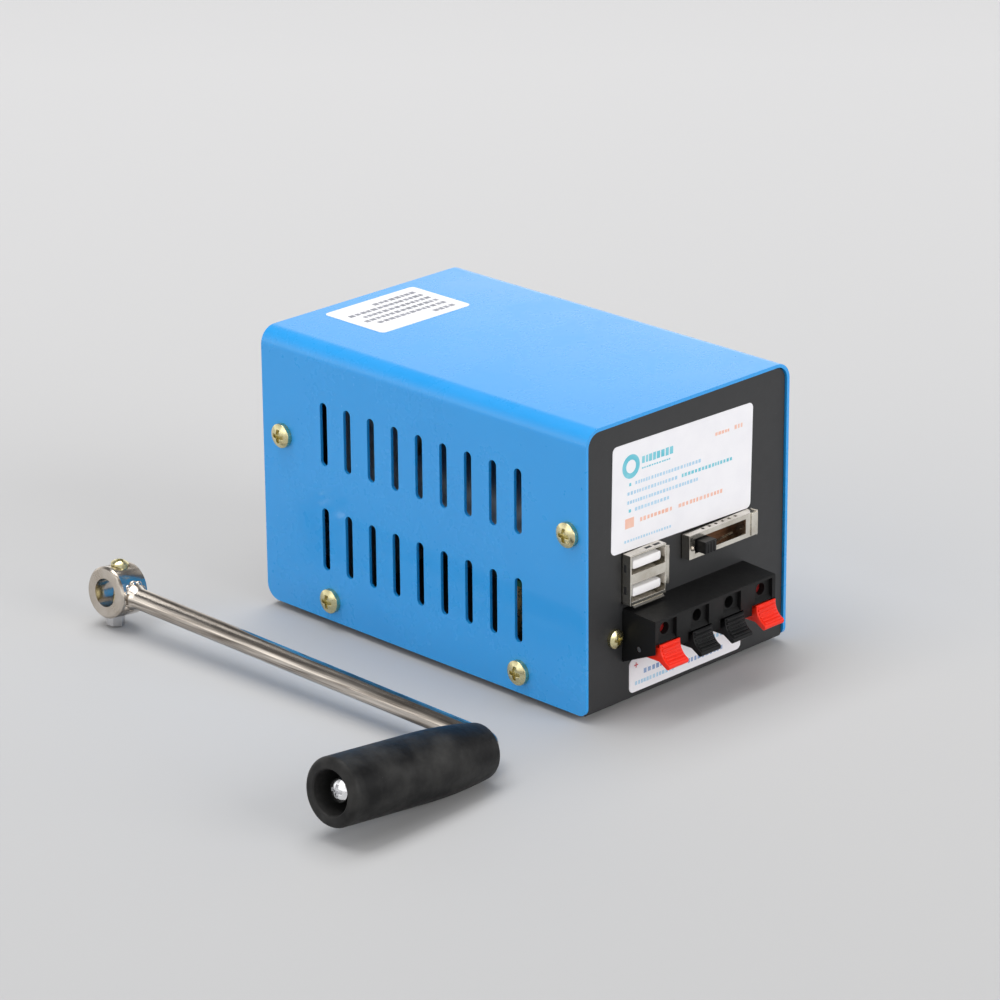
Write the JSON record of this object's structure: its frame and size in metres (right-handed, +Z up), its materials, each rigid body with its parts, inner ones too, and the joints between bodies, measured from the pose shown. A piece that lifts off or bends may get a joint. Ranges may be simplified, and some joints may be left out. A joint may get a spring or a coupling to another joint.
{
  "type": "hand crank generator",
  "caption": "Hand crank generator in a slotted sheet-metal box with sockets, a sliding adjuster and spring terminals on its end panel, its crank laid beside it.",
  "frame": {"origin": "middle of the plane that the feet stand on, under the middle of the box", "axes": "+Z up; +Y towards the end that the crank shaft leaves; the output panel faces -Y; the crank lies on the -X side"},
  "size_m": [0.1802, 0.1664, 0.0826],
  "materials": {
    "blue_paint": "gloss",
    "black_paint": "satin",
    "zinc_yellow": "satin",
    "rubber": "matte",
    "label": "gloss",
    "nickel": "polished",
    "steel": "brushed",
    "brass": "satin",
    "bronze": "matte",
    "copper": "gloss",
    "white_plastic": "gloss",
    "black_plastic": "satin",
    "red_plastic": "gloss",
    "grip_plastic": "satin",
    "board_green": "gloss",
    "phenolic": "matte",
    "ferrite": "matte"
  },
  "bodies": {
    "housing": {"adjuster_base": "phenolic", "adjuster_frame": "nickel", "adjuster_pins": "nickel", "board_screws": "steel", "board_standoffs": "brass", "capacitor": "black_plastic", "chassis": "black_paint", "choke": "ferrite", "circuit_board": "board_green", "cover": "blue_paint", "cover_screws": "zinc_yellow", "feet": "rubber", "front_gearbox_plate": "steel", "gearbox_pillars": "steel", "gearbox_screws": "steel", "generator_bearings": "bronze", "generator_brushes": "brass", "generator_can": "steel", "generator_cap": "black_plastic", "generator_leads": "red_plastic", "generator_magnets": "ferrite", "generator_screws": "steel", "idler_pin": "steel", "lever_pivot_rod": "steel", "panel_label": "label", "panel_nuts": "steel", "panel_screws": "zinc_yellow", "rear_gearbox_plate": "steel", "regulator": "black_plastic", "shaft_bushes": "bronze", "terminal_body": "black_plastic", "terminal_bracket": "steel", "terminal_label": "label", "terminal_springs": "brass", "top_label": "label", "usb_contacts": "brass", "usb_insulator": "white_plastic", "usb_shell": "nickel"},
    "crank_shaft": {"input_shaft": "steel", "drive_gear": "steel", "gear_pin": "steel", "shaft_spacer": "steel"},
    "idler": {"idler_gear": "steel"},
    "rotor": {"rotor_shaft": "steel", "rotor_core": "steel", "rotor_windings": "copper", "commutator": "copper", "rotor_pinion": "steel"},
    "adjuster": {"adjuster_knob": "black_plastic", "adjuster_wiper": "nickel"},
    "lever_1": {"terminal_lever_1": "red_plastic"},
    "lever_2": {"terminal_lever_2": "black_plastic"},
    "lever_3": {"terminal_lever_3": "black_plastic"},
    "lever_4": {"terminal_lever_4": "red_plastic"},
    "crank": {"crank_hub": "nickel", "crank_arm": "nickel", "crank_bolt": "zinc_yellow", "crank_nut": "nickel", "grip_screw": "nickel"},
    "grip": {"grip": "grip_plastic"}
  },
  "joints": [
    {"name": "rotor_spin", "type": "hinge", "parent": "housing", "child": "rotor", "pos_m": [0.00665, 0, 0.02849], "axis": [0, 1, 0], "continuous": true},
    {"name": "idler_spin", "type": "hinge", "parent": "housing", "child": "idler", "pos_m": [-0.01699, 0, 0.02432], "axis": [0, 1, 0], "continuous": true},
    {"name": "crank_shaft_spin", "type": "hinge", "parent": "housing", "child": "crank_shaft", "pos_m": [0, 0.06, 0.044], "axis": [0, 1, 0], "continuous": true},
    {"name": "adjuster_slide", "type": "slide", "parent": "housing", "child": "adjuster", "axis": [1, 0, 0], "range_m": [0, 0.0145]},
    {"name": "lever_1_press", "type": "hinge", "parent": "housing", "child": "lever_1", "pos_m": [-0.02039, -0.0677, 0.0188], "axis": [1, 0, 0], "range_deg": [0, 18], "stiffness_Nm_per_rad": 0.08, "springref_deg": -17.19},
    {"name": "lever_2_press", "type": "hinge", "parent": "housing", "child": "lever_2", "pos_m": [-0.00766, -0.0677, 0.0188], "axis": [1, 0, 0], "range_deg": [0, 18], "stiffness_Nm_per_rad": 0.08, "springref_deg": -17.19},
    {"name": "lever_3_press", "type": "hinge", "parent": "housing", "child": "lever_3", "pos_m": [0.00507, -0.0677, 0.0188], "axis": [1, 0, 0], "range_deg": [0, 18], "stiffness_Nm_per_rad": 0.08, "springref_deg": -17.19},
    {"name": "lever_4_press", "type": "hinge", "parent": "housing", "child": "lever_4", "pos_m": [0.01779, -0.0677, 0.0188], "axis": [1, 0, 0], "range_deg": [0, 18], "stiffness_Nm_per_rad": 0.08, "springref_deg": -17.19},
    {"name": "crank_lift", "type": "slide", "parent": "housing", "child": "crank", "axis": [0, 0, 1], "range_m": [0, 0.15]},
    {"name": "grip_spin", "type": "hinge", "parent": "crank", "child": "grip", "pos_m": [-0.07597, -0.0654, 0.00664], "axis": [-0.9925, -0.029, 0.1184], "continuous": true}
  ],
  "couplings": [
    {"joint": "idler_spin", "follows": "rotor_spin", "ratio": -0.33333},
    {"joint": "crank_shaft_spin", "follows": "rotor_spin", "ratio": 0.1}
  ]
}
